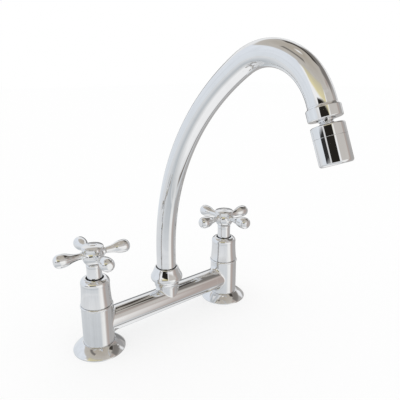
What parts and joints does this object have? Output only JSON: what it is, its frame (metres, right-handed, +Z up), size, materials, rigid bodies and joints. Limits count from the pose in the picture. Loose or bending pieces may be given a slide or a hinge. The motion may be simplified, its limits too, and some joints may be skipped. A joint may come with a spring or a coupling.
{
  "type": "bridge kitchen faucet",
  "caption": "Deck-mounted bridge mixer: two pillars with cross handles, a bridge pipe, a swinging swan-neck spout and a ball-jointed aerator.",
  "frame": {"origin": "on the worktop, midway between the two pillar axes", "axes": "+X along the bridge from the left to the right pillar, -Y the way the spout points, +Z up"},
  "size_m": [0.2894, 0.2938, 0.3458],
  "materials": {
    "chrome": "polished chrome plate on brass",
    "brass": "machined brass",
    "rubber": "matt black rubber",
    "nylon": "black moulded nylon",
    "ceramic": "lapped white ceramic",
    "steel": "stainless steel"
  },
  "bodies": {
    "root": {"left_base_gasket": "rubber", "left_flange": "chrome", "left_pillar": "chrome", "left_bridge_pipe": "chrome", "left_seat_washer": "rubber", "left_fixed_disc": "ceramic", "left_valve_body": "brass", "left_bonnet_cover": "chrome", "left_guide_ring": "nylon", "right_base_gasket": "rubber", "right_flange": "chrome", "right_pillar": "chrome", "right_bridge_pipe": "chrome", "right_seat_washer": "rubber", "right_fixed_disc": "ceramic", "right_valve_body": "brass", "right_bonnet_cover": "chrome", "right_guide_ring": "nylon", "spout_tee": "chrome", "spout_nut": "chrome", "thrust_washer": "nylon", "gland_ring": "nylon", "spout_wiper": "rubber"},
    "left_handle": {"left_moving_disc": "ceramic", "left_spindle": "brass", "left_spindle_o_ring": "rubber", "left_circlip": "steel", "left_handle_skirt": "chrome", "left_cross_handle": "chrome", "left_handle_screw": "steel", "left_index_cap": "chrome", "left_index_button": "chrome"},
    "right_handle": {"right_moving_disc": "ceramic", "right_spindle": "brass", "right_spindle_o_ring": "rubber", "right_circlip": "steel", "right_handle_skirt": "chrome", "right_cross_handle": "chrome", "right_handle_screw": "steel", "right_index_cap": "chrome", "right_index_button": "chrome"},
    "spout": {"spout_tube": "chrome", "spout_spigot": "brass", "lower_spigot_o_ring": "rubber", "upper_spigot_o_ring": "rubber", "spout_ferrule": "chrome", "aerator_nut": "chrome", "aerator_washer": "rubber", "stem_seal": "rubber"},
    "aerator_stem": {"ball_stem": "chrome"},
    "swivel_head": {"swivel_socket": "chrome", "ball_seat": "nylon", "seat_ring": "brass", "housing_ring": "nylon"},
    "nozzle": {"nozzle_housing": "chrome", "mesh_screen": "steel", "jet_insert": "nylon", "spray_plate": "nylon"}
  },
  "joints": [
    {"name": "left_handle_turn", "type": "hinge", "parent": "root", "child": "left_handle", "pos_m": [-0.1, 0, 0.1], "axis": [0, 0, 1], "range_deg": [0, 90]},
    {"name": "right_handle_turn", "type": "hinge", "parent": "root", "child": "right_handle", "pos_m": [0.1, 0, 0.1], "axis": [0, 0, 1], "range_deg": [-90, 0]},
    {"name": "spout_swing", "type": "hinge", "parent": "root", "child": "spout", "pos_m": [0, 0, 0.0622], "axis": [0, 0, 1], "continuous": true},
    {"name": "aerator_spin", "type": "hinge", "parent": "spout", "child": "aerator_stem", "pos_m": [0, -0.2226, 0.28385], "axis": [0, -0.3697, -0.9291], "continuous": true},
    {"name": "aerator_tilt", "type": "hinge", "parent": "aerator_stem", "child": "swivel_head", "pos_m": [0, -0.22696, 0.27288], "axis": [1, 0, 0], "range_deg": [-18, 18]},
    {"name": "jet_selector", "type": "hinge", "parent": "swivel_head", "child": "nozzle", "pos_m": [0, -0.23007, 0.26508], "axis": [0, -0.3697, -0.9291], "range_deg": [0, 90]}
  ]
}
